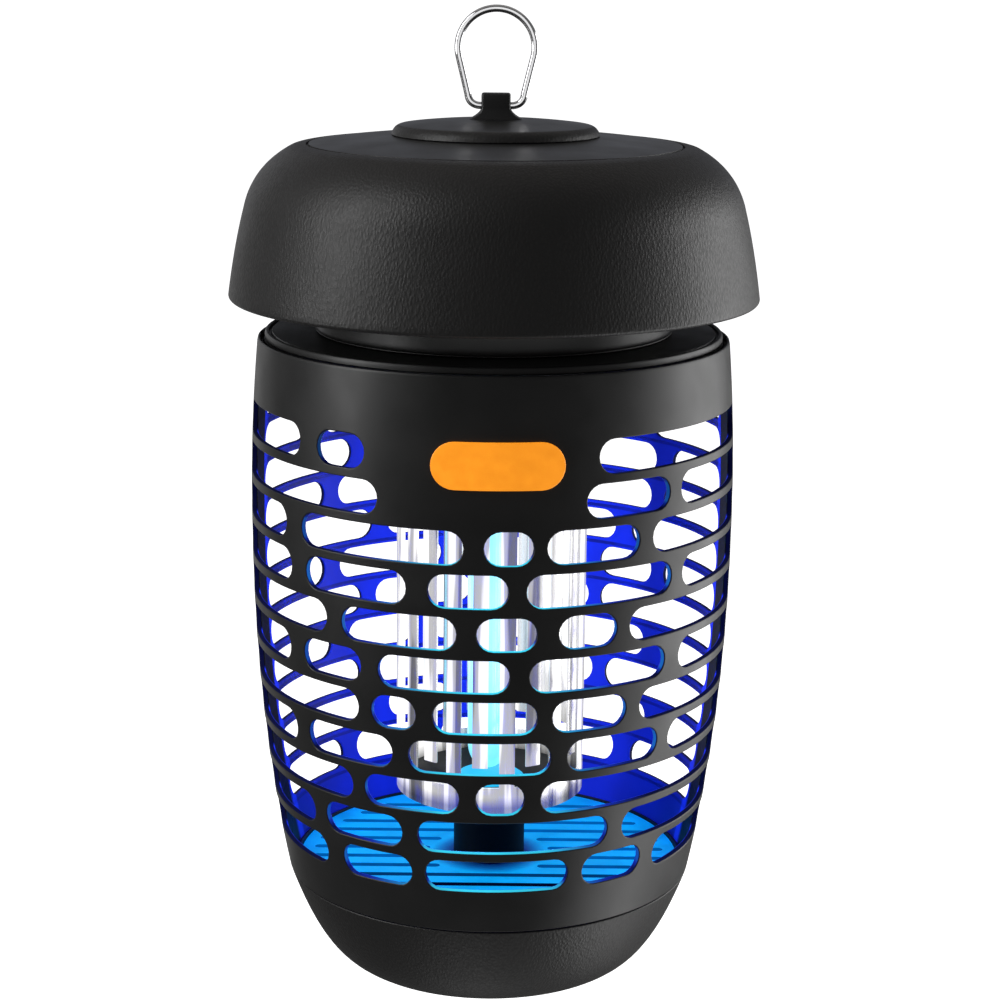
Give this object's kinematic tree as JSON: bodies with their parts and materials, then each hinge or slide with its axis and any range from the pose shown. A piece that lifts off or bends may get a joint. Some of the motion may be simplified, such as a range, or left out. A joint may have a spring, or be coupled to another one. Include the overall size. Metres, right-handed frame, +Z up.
{
  "type": "electric bug zapper",
  "caption": "Hanging lantern bug zapper: slotted cage round an ultraviolet lamp and live grid, domed rain cap with ring, collecting tray below.",
  "frame": {"origin": "centre of the collection tray's flat foot, on the surface that the lantern stands on", "axes": "+Z up along the lantern's axis to the hanging ring, -Y out of the front, where the plain badge plate is, +X to the right of someone who faces the front"},
  "size_m": [0.177, 0.177, 0.3278],
  "materials": {
    "housing": "fine leather grain on cap and tray, satin on the cage",
    "neck": "gloss",
    "badge": "satin orange",
    "grille": "satin, lit blue by the lamp",
    "steel": "zinc plated",
    "chrome": "bright plated wire",
    "lamp_glass": "glowing blue tube",
    "white_plastic": "satin",
    "board": "solder mask",
    "component": "sleeve and tape",
    "rubber": "matt"
  },
  "bodies": {
    "housing": {"cage_front": "housing", "cage_rear": "housing", "badge_plate": "badge", "floor_grille": "grille", "grid_pedestal": "housing", "pedestal_screw": "steel", "lower_grid": "steel", "upper_grid": "steel", "grid_carrier": "housing", "uv_lamp": "lamp_glass", "lamp_base": "white_plastic", "lamp_socket": "housing", "deck_plate": "housing", "neck_housing": "neck", "rain_cap": "housing", "cord_gland": "rubber", "hanger_boss": "housing", "hanger_nut": "steel", "circuit_board": "board", "transformer": "component", "capacitor_1": "component", "capacitor_2": "component", "standoff_1": "steel", "standoff_2": "steel", "standoff_3": "steel", "tie_screw_1": "steel", "tie_screw_2": "steel", "tie_screw_3": "steel"},
    "tray": {"collection_tray": "housing"},
    "ring": {"hanging_ring": "chrome"}
  },
  "joints": [
    {"name": "tray_release", "type": "slide", "parent": "housing", "child": "tray", "axis": [0, 0, 1], "range_m": [-0.06, 0]},
    {"name": "ring_swing", "type": "hinge", "parent": "housing", "child": "ring", "pos_m": [0, 0, 0.2952], "axis": [1, 0, 0], "range_deg": [-95, 95]}
  ]
}
